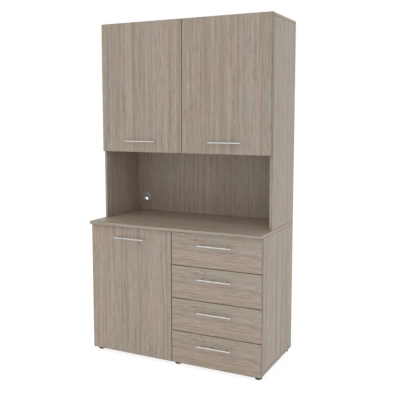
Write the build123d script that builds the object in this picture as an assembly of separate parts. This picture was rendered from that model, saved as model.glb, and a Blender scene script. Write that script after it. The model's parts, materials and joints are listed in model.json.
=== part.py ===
from build123d import *
import math
import os
from collections import namedtuple

# Free-standing mini kitchen cupboard: a base cabinet with one hinged door and a stack of drawers,
# a worktop, and a shallower upper cabinet on the worktop with two hinged doors over an open niche.
# All sizes are millimetres. X runs along the front, from left to right as one faces the doors.
# The front looks along -Y and Z points up. The origin is on the floor, in the middle of the
# outermost width and of the outermost depth, so the feet stand on the plane Z = 0.

# Driving dimensions of the carcass. The depth of the base follows from its drawer slides.
cabinet_width = 1200.0
hutch_depth = 416.0
board = 18.0
back_board = 16.0
board_easing = 1.2

# Worktop and niche
worktop_overhang = 22.0
worktop_thickness = 22.0
worktop_easing = 1.5
niche_height = 452.0

# Doors and drawer fronts
base_door_height = 837.0
hutch_door_height = 837.0
front_thickness = 16.0
front_easing = 1.0
front_gap = 3.0
front_standoff = 3.0
edge_reveal = 1.0

# Feet
foot_height = 24.0
foot_radius = 21.0
foot_neck_radius = 15.0
foot_pad_height = 9.0
foot_pad_easing = 2.2
foot_side_inset = 32.0
foot_end_inset = 30.0
middle_foot_shift = 22.0
foot_peg_radius = 5.0
foot_peg_length = 12.0

# Bar handles and the screws that hold them from inside
handle_radius = 5.0
handle_post_radius = 4.0
handle_post_spacing = 160.0
handle_overhang = 32.0
handle_projection = 30.0
handle_edge_distance = 71.0
handle_end_easing = 1.2
screw_radius = 2.0
screw_head_radius = 4.0
screw_head_height = 2.5
screw_head_easing = 0.8
screw_grip = 12.0
screw_hole_room = 0.25

# Drawers, with folded steel trays on telescopic slides
drawer_count = 4
tray_wall = 1.0
tray_over_handle = 14.0
tray_fold = 2.5
tray_above_front_bottom = 30.0
slide_length = 500.0
slide_setback = 3.0
slide_rear_room = 40.0
slide_width = 12.7
slide_height = 45.0
slide_sheet = 1.2
slide_play = 0.4
outer_lip = 9.5
middle_web_start = 3.2
web_room = 1.0

# Concealed hinges
hinges_from_door_end = 100.0
cup_radius = 17.5
cup_edge_distance = 3.5
cup_sheet = 1.0
cup_floor = 0.8
wood_behind_cup = 2.5
flange_sheet = 1.2
flange_half_height = 26.0
flange_edge_distance = 5.0
flange_width = 22.0
swing_clearance = 0.5
hinge_pin_radius = 1.25
hinge_pin_room = 0.05
knuckle_radius = 2.25
knuckle_room = 0.45
arm_sheet = 2.2
arm_half_height = 5.0
arm_side_room = 2.8
notch_room = 0.6
arm_body_half_height = 8.0
arm_body_height = 10.4
arm_body_start = 9.8
arm_body_end = 64.0
arm_body_room = 0.5
arm_rib_room = 0.2
plate_from_front = 37.0
plate_sheet = 2.5
plate_half_height = 25.0
plate_half_length = 9.0
plate_rib_height = 8.0
plate_rib_half_height = 5.5
plate_rib_start = 18.0
plate_rib_end = 60.0
plate_screw_spacing = 32.0
plate_screw_length = 12.0
plate_screw_hole_spare = 1.0
plate_screw_radius = 2.5
plate_screw_head_radius = 4.2
plate_screw_head_height = 1.8

# Shelves and the pins that carry them
shelf_setback = 20.0
shelf_room = 1.0
pin_radius = 2.5
pin_end_gap = 1.0
pin_proud = 8.0
pin_from_shelf_end = 50.0
hole_room = 0.05
overcut = 1.0

# Wooden dowels in the carcass joints
dowel_radius = 4.0
dowel_in_face = 12.0
dowel_in_edge = 22.0
dowel_end_distance = 50.0
worktop_dowel_share = 0.42

# Cable outlet in the back of the niche
outlet_from_side = 70.0
outlet_above_worktop = 101.0
outlet_bore_radius = 30.0
outlet_sleeve_wall = 3.0
outlet_flange_radius = 35.0
outlet_flange_sheet = 2.0
outlet_play = 0.3
cap_radius = 33.0
cap_sheet = 2.5
cap_skirt_length = 8.0
cap_skirt_wall = 1.5
cap_slot_width = 26.0
cap_slot_height = 20.0
cap_slot_drop = 16.0

# Heights that follow from the driving dimensions
bottom_low = foot_height
bottom_top = bottom_low + board
worktop_low = bottom_low + base_door_height + front_gap
worktop_top = worktop_low + worktop_thickness
hutch_low = worktop_top + niche_height
hutch_floor_top = hutch_low + board
cabinet_top = hutch_low + hutch_door_height
top_panel_low = cabinet_top - board

# Depths that follow from the driving dimensions
base_depth = slide_setback + slide_length + slide_rear_room + back_board
worktop_depth = base_depth + front_standoff + front_thickness + worktop_overhang
front_reach = base_depth + front_standoff + front_thickness + handle_projection
rear = max(worktop_depth, front_reach) / 2
back_face = rear - back_board
base_front = rear - base_depth
hutch_front = rear - hutch_depth
shelf_back = back_face - shelf_room

# Widths and lengths that follow from the driving dimensions
half_width = cabinet_width / 2
inner_half = half_width - board
half_board = board / 2
front_width = half_width - edge_reveal - front_gap / 2
front_centre = (half_width - edge_reveal + front_gap / 2) / 2
handle_length = handle_post_spacing + 2 * handle_overhang
drawer_front_height = (base_door_height - (drawer_count - 1) * front_gap) / drawer_count
tray_top_in_front = drawer_front_height - handle_edge_distance + tray_over_handle
tray_height = tray_top_in_front - tray_above_front_bottom
pin_in_board = (board - pin_end_gap) / 2
outlet_x = outlet_from_side - inner_half

# Hinge places. The pin sits just far enough from the door's edge for the corner behind it to
# swing past the carcass with swing_clearance to spare.
cup_depth = front_thickness - wood_behind_cup
pin_depth = cup_depth - cup_floor - knuckle_radius - knuckle_room
swing_room = front_standoff - swing_clearance
pin_inset = math.sqrt((pin_depth + swing_room) ** 2 - pin_depth ** 2)
cup_centre = cup_edge_distance + cup_radius
arm_near = board - edge_reveal + arm_side_room
arm_far = arm_near + arm_sheet

Hinge = namedtuple("Hinge", "edge inward door_back height")
Front = namedtuple("Front", "centre low high back handle_height")


def block(low, high):
    """A plain box between two opposite corners."""
    size = [b - a for a, b in zip(low, high)]
    centre = [(a + b) / 2 for a, b in zip(low, high)]
    return Pos(*centre) * Box(*size)


def eased(low, high, easing=board_easing):
    """A board between two opposite corners, with its edges slightly rounded."""
    return fillet(block(low, high).edges(), easing)


def rod(start, end, radius):
    """A round rod between two points that differ along one axis."""
    start = Vector(*start)
    end = Vector(*end)
    plane = Plane(origin=start, z_dir=end - start)
    return extrude(plane * Circle(radius), amount=(end - start).length)


def joined(solids):
    """Separate solids kept together in one node."""
    return Compound([piece for item in solids for piece in item.solids()])


# Dowels: each is given by the point where it crosses the joint and the way into the board's edge

def upright_rows(front):
    """Depths of the dowels between an upright board and the board above or below it."""
    first = front + dowel_end_distance
    last = rear - back_board - dowel_end_distance
    return [first, (first + last) / 2, last]


def dowel(point, into_edge, in_face=dowel_in_face, room=0.0):
    point = Vector(*point)
    way = Vector(*into_edge)
    start = point - way * (in_face + room)
    end = point + way * (dowel_in_edge + room)
    return rod(tuple(start), tuple(end), dowel_radius + room)


def dowels_at(height, up, uprights, front, in_face, room):
    """Vertical dowels where uprights meet a lying board at this height."""
    pegs = []
    for x in uprights:
        for y in upright_rows(front):
            pegs.append(dowel((x, y, height), (0, 0, up), in_face, room))
    return pegs


side_centres = [-half_width + half_board, half_width - half_board]
base_uprights = [side_centres[0], 0.0, side_centres[1]]


def bottom_dowels(room=0.0):
    return dowels_at(bottom_top, 1, base_uprights, base_front, dowel_in_face, room)


def worktop_under_dowels(room=0.0):
    in_face = worktop_thickness * worktop_dowel_share
    return dowels_at(worktop_low, -1, base_uprights, base_front, in_face, room)


def worktop_over_dowels(room=0.0):
    in_face = worktop_thickness * worktop_dowel_share
    return dowels_at(worktop_top, 1, side_centres, hutch_front, in_face, room)


def top_dowels(room=0.0):
    return dowels_at(top_panel_low, -1, base_uprights, hutch_front, dowel_in_face, room)


def hutch_floor_dowels(room=0.0):
    pegs = []
    for side in (-1, 1):
        for y in upright_rows(hutch_front):
            joint = (side * inner_half, y, hutch_low + half_board)
            pegs.append(dowel(joint, (-side, 0, 0), dowel_in_face, room))
    return pegs


def hutch_partition_dowels(room=0.0):
    return dowels_at(hutch_floor_top, 1, [0.0], hutch_front, dowel_in_face, room)


# Shelf pins: each is given by the face of the board that holds it

def shelf_pins(left, right, height, front, room=0.0):
    """Four pins under a shelf that lies between two uprights."""
    pegs = []
    for y in (front + shelf_setback + pin_from_shelf_end, shelf_back - pin_from_shelf_end):
        for face, inward in ((left, 1), (right, -1)):
            z = height - pin_radius
            start = (face - inward * (pin_in_board + room), y, z)
            end = (face + inward * pin_proud, y, z)
            pegs.append(rod(start, end, pin_radius + room))
    return pegs


base_shelf_low = (bottom_top + worktop_low - board) / 2
hutch_shelf_low = (hutch_floor_top + top_panel_low - board) / 2


def base_shelf_pins(room=0.0):
    return shelf_pins(-inner_half, -half_board, base_shelf_low, base_front, room)


def hutch_left_pins(room=0.0):
    return shelf_pins(-inner_half, -half_board, hutch_shelf_low, hutch_front, room)


def hutch_right_pins(room=0.0):
    return shelf_pins(half_board, inner_half, hutch_shelf_low, hutch_front, room)


# Carcass boards

def foot_places():
    xs = [foot_side_inset - half_width, middle_foot_shift, half_width - foot_side_inset]
    ys = [base_front + foot_end_inset, rear - foot_end_inset]
    return [(x, y) for x in xs for y in ys]


def bottom_panel():
    panel = eased((-half_width, base_front, bottom_low), (half_width, rear, bottom_top))
    for x, y in foot_places():
        top = bottom_low + foot_peg_length + hole_room
        panel -= rod((x, y, bottom_low - overcut), (x, y, top), foot_peg_radius + hole_room)
    return panel - bottom_dowels(hole_room)


def base_side(side):
    inner, outer = sorted((side * inner_half, side * half_width))
    panel = eased((inner, base_front, bottom_top), (outer, rear, worktop_low))
    panel -= bottom_dowels(hole_room) + worktop_under_dowels(hole_room)
    if side < 0:
        panel -= base_shelf_pins(hole_room)
        panel -= plate_screw_holes(base_hinges())
    return panel


def base_partition():
    low = (-half_board, base_front, bottom_top)
    panel = eased(low, (half_board, back_face, worktop_low))
    panel -= bottom_dowels(hole_room) + worktop_under_dowels(hole_room)
    return panel - base_shelf_pins(hole_room)


def base_back():
    return eased((-inner_half, back_face, bottom_top), (inner_half, rear, worktop_low))


def shelf(left, right, low, front):
    start = (left + shelf_room, front + shelf_setback, low)
    return eased(start, (right - shelf_room, shelf_back, low + board))


def worktop():
    low = (-half_width, rear - worktop_depth, worktop_low)
    panel = eased(low, (half_width, rear, worktop_top), worktop_easing)
    return panel - (worktop_under_dowels(hole_room) + worktop_over_dowels(hole_room))


def hutch_side(side):
    inner, outer = sorted((side * inner_half, side * half_width))
    panel = eased((inner, hutch_front, worktop_top), (outer, rear, top_panel_low))
    panel -= worktop_over_dowels(hole_room) + top_dowels(hole_room)
    panel -= hutch_floor_dowels(hole_room)
    panel -= hutch_left_pins(hole_room) if side < 0 else hutch_right_pins(hole_room)
    return panel - plate_screw_holes(hutch_hinges(side))


def hutch_top():
    low = (-half_width, hutch_front, top_panel_low)
    return eased(low, (half_width, rear, cabinet_top)) - top_dowels(hole_room)


def hutch_floor():
    low = (-inner_half, hutch_front, hutch_low)
    panel = eased(low, (inner_half, back_face, hutch_floor_top))
    return panel - (hutch_floor_dowels(hole_room) + hutch_partition_dowels(hole_room))


def hutch_partition():
    low = (-half_board, hutch_front, hutch_floor_top)
    panel = eased(low, (half_board, back_face, top_panel_low))
    panel -= top_dowels(hole_room) + hutch_partition_dowels(hole_room)
    return panel - (hutch_left_pins(hole_room) + hutch_right_pins(hole_room))


def hutch_back():
    panel = eased((-inner_half, back_face, worktop_top), (inner_half, rear, top_panel_low))
    bore = outlet_bore_radius + hole_room
    return panel - outlet_disc(back_face - overcut, rear + overcut, bore)


# Cable outlet

def outlet_disc(front, back, radius):
    height = worktop_top + outlet_above_worktop
    return rod((outlet_x, front, height), (outlet_x, back, height), radius)


def outlet_sleeve():
    inner = outlet_bore_radius - outlet_sleeve_wall
    flange_front = back_face - outlet_flange_sheet
    sleeve = outlet_disc(back_face, rear, outlet_bore_radius)
    sleeve += outlet_disc(flange_front, back_face, outlet_flange_radius)
    sleeve = fillet(sleeve.faces().sort_by(Axis.Y)[0].edges(), outlet_flange_sheet / 2)
    return sleeve - outlet_disc(flange_front - overcut, rear + overcut, inner)


def outlet_cap():
    skirt_radius = outlet_bore_radius - outlet_sleeve_wall - outlet_play
    cap_back = back_face - outlet_flange_sheet - outlet_play
    cap_front = cap_back - cap_sheet
    cap = outlet_disc(cap_front, cap_back, cap_radius)
    cap = fillet(cap.faces().sort_by(Axis.Y)[0].edges(), cap_sheet / 2)
    skirt_back = cap_back + cap_skirt_length
    cap += outlet_disc(cap_back, skirt_back, skirt_radius)
    cap -= outlet_disc(cap_back, skirt_back + overcut, skirt_radius - cap_skirt_wall)
    slot_height = worktop_top + outlet_above_worktop - cap_slot_drop
    slot = SlotOverall(cap_slot_width, cap_slot_height)
    start = (outlet_x, cap_front - overcut, slot_height)
    plane = Plane(origin=start, x_dir=(1, 0, 0), z_dir=(0, 1, 0))
    return cap - extrude(plane * slot, amount=cap_sheet + 2 * overcut)


# Feet

def foot(x, y):
    peg_top = bottom_low + foot_peg_length
    pad = rod((x, y, 0), (x, y, foot_pad_height), foot_radius)
    pad = fillet(pad.edges(), foot_pad_easing)
    neck = Cone(foot_radius - foot_pad_easing, foot_neck_radius, foot_height - foot_pad_height)
    neck = Pos(x, y, (foot_height + foot_pad_height) / 2) * neck
    peg = rod((x, y, foot_height), (x, y, peg_top), foot_peg_radius)
    return pad + neck + peg


# Handles and their screws

def handle_posts(front):
    half = handle_post_spacing / 2
    return [front.centre - half, front.centre + half]


def handle(front):
    face = front.back - front_thickness
    axis = face - handle_projection + handle_radius
    z = front.handle_height
    half = handle_length / 2
    bar = rod((front.centre - half, axis, z), (front.centre + half, axis, z), handle_radius)
    bar = fillet(bar.edges(), handle_end_easing)
    for x in handle_posts(front):
        bar += rod((x, face, z), (x, axis, z), handle_post_radius)
    for x in handle_posts(front):
        end = face - screw_grip - overcut
        bar -= rod((x, face + overcut, z), (x, end, z), screw_radius + hole_room)
    return bar


def handle_screws(front, head_seat):
    """Pan-head screws through the front, with their heads against head_seat inside."""
    z = front.handle_height
    tip = front.back - front_thickness - screw_grip
    screws = []
    for x in handle_posts(front):
        head = rod((x, head_seat, z), (x, head_seat + screw_head_height, z), screw_head_radius)
        head = fillet(head.faces().sort_by(Axis.Y)[-1].edges(), screw_head_easing)
        screws.append(head + rod((x, tip, z), (x, head_seat, z), screw_radius))
    return joined(screws)


def front_panel(front):
    half = front_width / 2
    low = (front.centre - half, front.back - front_thickness, front.low)
    panel = eased(low, (front.centre + half, front.back, front.high), front_easing)
    for x in handle_posts(front):
        start = (x, front.back + overcut, front.handle_height)
        end = (x, front.back - front_thickness - overcut, front.handle_height)
        panel -= rod(start, end, screw_radius + screw_hole_room)
    return panel


# Drawers

def drawer_front_data(number):
    """Place of drawer front 1 to 4, counted from the top."""
    high = bottom_low + base_door_height - (number - 1) * (drawer_front_height + front_gap)
    low = high - drawer_front_height
    back = base_front - front_standoff
    return Front(front_centre, low, high, back, high - handle_edge_distance)


tray_left = half_board + slide_width
tray_right = inner_half - slide_width
tray_front = base_front - front_standoff
tray_back = base_front + slide_setback + slide_length


def tray(number):
    """A folded steel tray, open at the top."""
    front = drawer_front_data(number)
    low = front.low + tray_above_front_bottom
    outer = block((tray_left, tray_front, low), (tray_right, tray_back, low + tray_height))
    folds = outer.edges().filter_by(Axis.Z) + outer.faces().sort_by(Axis.Z)[0].edges()
    outer = fillet(folds, tray_fold)
    inner_low = (tray_left + tray_wall, tray_front + tray_wall, low + tray_wall)
    inner_high = (tray_right - tray_wall, tray_back - tray_wall, low + tray_height + tray_fold)
    inner = block(inner_low, inner_high)
    folds = inner.edges().filter_by(Axis.Z) + inner.faces().sort_by(Axis.Z)[0].edges()
    shell = outer - fillet(folds, tray_fold - tray_wall)
    for x in handle_posts(front):
        start = (x, tray_front - overcut, front.handle_height)
        end = (x, tray_front + tray_wall + overcut, front.handle_height)
        shell -= rod(start, end, screw_radius + screw_hole_room)
    return shell


def channel(wall, inward, web, lips, half_height, height):
    """One C-shaped slide member. web and lips are spans measured from the cabinet wall."""
    near = base_front + slide_setback
    far = near + slide_length

    def span(reach, low, high):
        xs = sorted(wall + inward * value for value in reach)
        return block((xs[0], near, height + low), (xs[1], far, height + high))

    member = span(web, -half_height, half_height)
    member += span(lips, half_height - slide_sheet, half_height)
    member += span(lips, -half_height, slide_sheet - half_height)
    return member


def slide_pair(number, web, lips, half_height):
    """The same member at the partition and at the right side."""
    front = drawer_front_data(number)
    height = front.low + tray_above_front_bottom + slide_height
    left = channel(half_board, 1, web, lips, half_height, height)
    right = channel(inner_half, -1, web, lips, half_height, height)
    return [left, right]


def cabinet_slides():
    members = []
    for number in range(1, drawer_count + 1):
        lips = (0, outer_lip)
        members += slide_pair(number, (0, slide_sheet), lips, slide_height / 2)
    return joined(members)


def middle_slides(number):
    half_height = slide_height / 2 - slide_sheet - slide_play
    web = (middle_web_start, middle_web_start + slide_sheet)
    lips = (web[0], slide_width - slide_sheet - slide_play)
    return joined(slide_pair(number, web, lips, half_height))


def drawer_slides(number):
    half_height = slide_height / 2 - 2 * (slide_sheet + slide_play)
    web = (slide_width - slide_sheet, slide_width)
    lips = (middle_web_start + slide_sheet + web_room, slide_width)
    return joined(slide_pair(number, web, lips, half_height))


# Doors. handle_height tells where the bar sits: low on the upper doors, high on the base door.

def base_door_data():
    high = bottom_low + base_door_height
    back = base_front - front_standoff
    return Front(-front_centre, bottom_low, high, back, high - handle_edge_distance)


def hutch_door_data(side):
    back = hutch_front - front_standoff
    handle_height = hutch_low + handle_edge_distance
    return Front(side * front_centre, hutch_low, cabinet_top, back, handle_height)


def door_hinges(door, side):
    """The two hinges of a door that is hung on its left edge, side -1, or right edge, side 1."""
    edge = side * (half_width - edge_reveal)
    heights = (door.low + hinges_from_door_end, door.high - hinges_from_door_end)
    return [Hinge(edge, -side, door.back, height) for height in heights]


def base_hinges():
    return door_hinges(base_door_data(), -1)


def hutch_hinges(side):
    return door_hinges(hutch_door_data(side), side)


def hinge_block(hinge, across, depth, half_height):
    """A box given from the door's edge inwards and from the door's back forwards."""
    xs = sorted(hinge.edge + hinge.inward * value for value in across)
    ys = sorted(hinge.door_back - value for value in depth)
    low = (xs[0], ys[0], hinge.height - half_height)
    return block(low, (xs[1], ys[1], hinge.height + half_height))


def hinge_rod(hinge, across, depth, half_height, radius):
    """A round pin along Z, given like hinge_block."""
    x = hinge.edge + hinge.inward * across
    y = hinge.door_back - depth
    return rod((x, y, hinge.height - half_height), (x, y, hinge.height + half_height), radius)


def cup_drum(hinge, radius, top, floor):
    """A round plug square to the door's back, from depth top to depth floor."""
    x = hinge.edge + hinge.inward * cup_centre
    back = hinge.door_back
    return rod((x, back - floor, hinge.height), (x, back - top, hinge.height), radius)


def hinge_cup(hinge):
    """The sheet cup with its flange, its notch for the arm and its riveted pin."""
    cup = cup_drum(hinge, cup_radius, 0, cup_depth)
    flange = (flange_edge_distance, flange_edge_distance + flange_width)
    cup += hinge_block(hinge, flange, (-flange_sheet, 0), flange_half_height)
    hollow = (-flange_sheet - overcut, cup_depth - cup_floor)
    cup -= cup_drum(hinge, cup_radius - cup_sheet, *hollow)
    notch = (0, pin_inset + knuckle_radius)
    cup -= hinge_block(hinge, notch, hollow, arm_half_height + notch_room)
    pin = hinge_rod(hinge, pin_inset, pin_depth, cup_radius, hinge_pin_radius)
    return cup + (pin & cup_drum(hinge, cup_radius, 0, cup_depth))


def hinge_arm(hinge):
    """The cranked arm, from its knuckle round the pin back to the body over the plate."""
    half_sheet = arm_sheet / 2
    behind = -front_standoff
    side_face = board - edge_reveal
    arm = hinge_rod(hinge, pin_inset, pin_depth, arm_half_height, knuckle_radius)
    tongue = (pin_depth - half_sheet, pin_depth + half_sheet)
    arm += hinge_block(hinge, (pin_inset, arm_far), tongue, arm_half_height)
    body_start = behind - arm_body_start
    shank = (body_start, pin_depth + half_sheet)
    arm += hinge_block(hinge, (arm_near, arm_far), shank, arm_half_height)
    crank = (body_start - arm_sheet, body_start)
    body_top = side_face + arm_body_height
    arm += hinge_block(hinge, (arm_near, body_top), crank, arm_half_height)
    body = (behind - arm_body_end, body_start)
    body_reach = (side_face + plate_sheet + arm_body_room, body_top)
    hollow_reach = (0, side_face + plate_rib_height + arm_rib_room)
    channel_half = plate_rib_half_height + arm_rib_room
    arm += (
        hinge_block(hinge, body_reach, body, arm_body_half_height)
        - hinge_block(hinge, hollow_reach, body, channel_half)
    )
    bore = hinge_pin_radius + hinge_pin_room
    return arm - hinge_rod(hinge, pin_inset, pin_depth, arm_half_height + overcut, bore)


def hinge_plate(hinge):
    """The cross-shaped mounting plate on the side board, under the arm's body."""
    side_face = board - edge_reveal
    centre = -front_standoff - plate_from_front
    wings = (centre - plate_half_length, centre + plate_half_length)
    plate = hinge_block(hinge, (side_face, side_face + plate_sheet), wings, plate_half_height)
    rib = (-front_standoff - plate_rib_end, -front_standoff - plate_rib_start)
    plate += hinge_block(hinge, (side_face, side_face + plate_rib_height), rib, plate_rib_half_height)
    return plate - plate_screw_cuts(hinge, plate_screw_radius + screw_hole_room)


def plate_screw_axes(hinge):
    x = hinge.edge + hinge.inward * (board - edge_reveal)
    y = hinge.door_back + front_standoff + plate_from_front
    half = plate_screw_spacing / 2
    return [(x, y, hinge.height - half), (x, y, hinge.height + half)]


def plate_screw_cuts(hinge, radius):
    cuts = []
    for x, y, z in plate_screw_axes(hinge):
        start = (x - hinge.inward * (plate_screw_length + plate_screw_hole_spare), y, z)
        cuts.append(rod(start, (x + hinge.inward * (plate_sheet + overcut), y, z), radius))
    return cuts


def plate_screw_holes(hinges):
    radius = plate_screw_radius + hole_room
    return [cut for hinge in hinges for cut in plate_screw_cuts(hinge, radius)]


def plate_screws(hinge):
    screws = []
    for x, y, z in plate_screw_axes(hinge):
        seat = x + hinge.inward * plate_sheet
        tip = x - hinge.inward * plate_screw_length
        top = seat + hinge.inward * plate_screw_head_height
        head = rod((seat, y, z), (top, y, z), plate_screw_head_radius)
        screws.append(rod((tip, y, z), (seat, y, z), plate_screw_radius) + head)
    return screws


def door_panel(door, hinges):
    panel = front_panel(door)
    for hinge in hinges:
        panel -= cup_drum(hinge, cup_radius + hole_room, -overcut, cup_depth + hole_room)
    return panel


def carcass_nodes():
    """Everything that stands still."""
    all_hinges = base_hinges() + hutch_hinges(-1) + hutch_hinges(1)
    pegs = bottom_dowels() + worktop_under_dowels() + worktop_over_dowels() + top_dowels()
    pegs += hutch_floor_dowels() + hutch_partition_dowels()
    pins = base_shelf_pins() + hutch_left_pins() + hutch_right_pins()
    return {
        "bottom_panel": bottom_panel(),
        "base_left_side": base_side(-1),
        "base_right_side": base_side(1),
        "base_partition": base_partition(),
        "base_back_panel": base_back(),
        "base_shelf": shelf(-inner_half, -half_board, base_shelf_low, base_front),
        "worktop": worktop(),
        "hutch_left_side": hutch_side(-1),
        "hutch_right_side": hutch_side(1),
        "hutch_top_panel": hutch_top(),
        "hutch_floor_panel": hutch_floor(),
        "hutch_partition": hutch_partition(),
        "hutch_back_panel": hutch_back(),
        "hutch_left_shelf": shelf(-inner_half, -half_board, hutch_shelf_low, hutch_front),
        "hutch_right_shelf": shelf(half_board, inner_half, hutch_shelf_low, hutch_front),
        "shelf_pins": joined(pins),
        "carcass_dowels": joined(pegs),
        "feet": joined([foot(x, y) for x, y in foot_places()]),
        "cable_outlet_sleeve": outlet_sleeve(),
        "cable_outlet_cap": outlet_cap(),
        "hinge_arms": joined([hinge_arm(hinge) for hinge in all_hinges]),
        "hinge_plates": joined([hinge_plate(hinge) for hinge in all_hinges]),
        "hinge_plate_screws": joined([s for hinge in all_hinges for s in plate_screws(hinge)]),
        "cabinet_slides": cabinet_slides(),
    }


def door_nodes(name, door, hinges):
    return {
        name: door_panel(door, hinges),
        name + "_handle": handle(door),
        name + "_handle_screws": handle_screws(door, door.back),
        name + "_hinge_cups": joined([hinge_cup(hinge) for hinge in hinges]),
    }


def drawer_nodes(number):
    front = drawer_front_data(number)
    name = f"drawer_{number}"
    return {
        name + "_front": front_panel(front),
        name + "_tray": tray(number),
        name + "_handle": handle(front),
        name + "_handle_screws": handle_screws(front, tray_front + tray_wall),
        name + "_slides": drawer_slides(number),
        name + "_middle_slides": middle_slides(number),
    }


nodes = carcass_nodes()
nodes.update(door_nodes("base_door", base_door_data(), base_hinges()))
nodes.update(door_nodes("hutch_left_door", hutch_door_data(-1), hutch_hinges(-1)))
nodes.update(door_nodes("hutch_right_door", hutch_door_data(1), hutch_hinges(1)))
for number in range(1, drawer_count + 1):
    nodes.update(drawer_nodes(number))

os.makedirs("parts", exist_ok=True)
for name, shape in nodes.items():
    shape.label = name
    export_step(shape, f"parts/{name}.step")

print(f"{len(nodes)} nodes, {cabinet_width:.0f} x {2 * rear:.0f} x {cabinet_top:.0f} mm")
print(f"hinge pin {pin_inset:.2f} in from the door's edge and {pin_depth:.2f} deep")
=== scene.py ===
# %% [markdown]
# # A mini kitchen cupboard, finished in Blender
#
# The construction of this cupboard is already there: every board, hinge, slide and screw is a
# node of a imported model, in metres, in its real place. This lesson gives those pieces their
# finish, and builds again the small fittings that need more shape: handles, feet, hinges, trays,
# slides and the cable outlet. The first cell loads the nodes, the moving bodies that they ride
# on, and the record that names their finishes.

# %% Load the construction
import bmesh
import bpy
import json
import math
from mathutils import Euler, Matrix, Vector

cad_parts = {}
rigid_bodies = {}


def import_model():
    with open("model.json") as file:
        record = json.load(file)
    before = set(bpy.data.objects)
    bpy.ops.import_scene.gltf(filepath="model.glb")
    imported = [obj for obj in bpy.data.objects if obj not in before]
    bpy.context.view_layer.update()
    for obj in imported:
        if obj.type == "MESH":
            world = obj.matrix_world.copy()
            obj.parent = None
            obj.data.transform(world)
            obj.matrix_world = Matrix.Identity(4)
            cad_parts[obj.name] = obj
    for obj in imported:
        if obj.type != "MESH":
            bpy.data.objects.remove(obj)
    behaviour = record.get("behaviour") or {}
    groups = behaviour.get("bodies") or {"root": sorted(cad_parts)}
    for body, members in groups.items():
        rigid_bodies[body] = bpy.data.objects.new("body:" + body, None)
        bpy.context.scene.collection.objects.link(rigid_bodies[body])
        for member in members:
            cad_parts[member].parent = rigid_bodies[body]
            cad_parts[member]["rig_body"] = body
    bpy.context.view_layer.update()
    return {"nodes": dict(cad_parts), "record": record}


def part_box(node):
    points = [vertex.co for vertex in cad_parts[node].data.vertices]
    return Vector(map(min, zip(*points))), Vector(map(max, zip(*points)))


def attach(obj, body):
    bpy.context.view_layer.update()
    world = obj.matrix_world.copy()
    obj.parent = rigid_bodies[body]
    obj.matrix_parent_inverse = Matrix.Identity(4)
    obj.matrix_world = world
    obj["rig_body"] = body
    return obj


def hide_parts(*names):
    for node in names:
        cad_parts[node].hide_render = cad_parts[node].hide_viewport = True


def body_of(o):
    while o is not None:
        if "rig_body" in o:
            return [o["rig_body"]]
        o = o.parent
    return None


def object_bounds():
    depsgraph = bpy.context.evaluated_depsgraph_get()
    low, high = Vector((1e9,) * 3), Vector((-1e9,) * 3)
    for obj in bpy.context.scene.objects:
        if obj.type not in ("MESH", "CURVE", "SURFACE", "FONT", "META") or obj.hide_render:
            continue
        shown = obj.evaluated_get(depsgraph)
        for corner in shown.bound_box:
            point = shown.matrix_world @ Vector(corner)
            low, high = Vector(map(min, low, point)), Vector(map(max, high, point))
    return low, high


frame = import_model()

# %% [markdown]
# ## Measures
#
# A joiner's drawing is in millimetres and Blender works in metres, so one constant turns one
# into the other. Places are read from the boxes of the nodes, so a piece always fits the
# construction.

# %% Measures of the cupboard
MM = 0.001


def within(low, high, x=0.5, y=0.5, z=0.5):
    """A place in a box, at three shares of the way from its low to its high corner."""
    return low + (high - low) * Vector((x, y, z))


cupboard_low, cupboard_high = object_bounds()
cupboard_centre = within(cupboard_low, cupboard_high)
print("cupboard", [round(side / MM) for side in cupboard_high - cupboard_low], "mm")

# %% [markdown]
# ## The camera
#
# The photograph looks at the cupboard from its right, at the height of a standing person's eyes.
# Its upright edges stay upright, as with a shifted lens. A strong shift would push the cupboard
# out of frame when the camera walks round it, so a slight downward tilt does most of its work.

# %% Place the camera
sensor_width = 36.0
photo_width = 400
focal_length_in_pixels = 616.3
camera_place = Vector((1823.5, -3582.8, 1570.8)) * MM
camera_turn = math.radians(26.15)
camera_tilt = math.radians(5.96)

camera_data = bpy.data.cameras.new("photo_camera")
camera_data.sensor_width = sensor_width
camera_data.lens = focal_length_in_pixels / photo_width * sensor_width
camera_data.shift_y = -0.048
camera_data.clip_start = 0.05
camera_data.clip_end = 100
camera = bpy.data.objects.new("photo_camera", camera_data)
camera.location = camera_place
camera.rotation_euler = (math.pi / 2 - camera_tilt, 0, camera_turn)
bpy.context.scene.collection.objects.link(camera)
bpy.context.scene.camera = camera
print("lens", round(camera_data.lens, 1), "mm")

# %% [markdown]
# ## Helpers for finishes
#
# A colour is written as the hex code that a paint or decor card would give, and shaders work with
# linear light, so one function turns one into the other. A second function adds a shader node,
# fills in its settings and joins its inputs: another node or its socket is linked, and any other
# value is set. A node stands for its first output. A colour ramp also gets its stops, each a
# place and a hex code.

# %% Colours and shader nodes
def colour(hex_code):
    """The linear colour of an sRGB hex code."""
    shares = [int(hex_code[place:place + 2], 16) / 255 for place in (0, 2, 4)]
    linear = [s / 12.92 if s <= 0.04045 else ((s + 0.055) / 1.055) ** 2.4 for s in shares]
    return (*linear, 1.0)


def add(tree, kind, inputs=None, stops=(), **settings):
    """Adds one node to a tree, with its settings, values, links and colour stops."""
    made = tree.nodes.new(kind)
    for name, value in settings.items():
        setattr(made, name, value)
    for name, value in (inputs or {}).items():
        if isinstance(value, bpy.types.Node):
            value = value.outputs[0]
        if isinstance(value, bpy.types.NodeSocket):
            tree.links.new(value, made.inputs[name])
        else:
            made.inputs[name].default_value = value
    for number, (place, code) in enumerate(stops):
        bar = made.color_ramp.elements
        stop = bar[number] if number < len(bar) else bar.new(place)
        stop.position = place
        stop.color = colour(code)
    return made


def new_material(name):
    """A material without nodes, and its empty tree."""
    material = bpy.data.materials.new(name)
    material.use_nodes = True
    material.node_tree.nodes.clear()
    return material, material.node_tree


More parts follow.
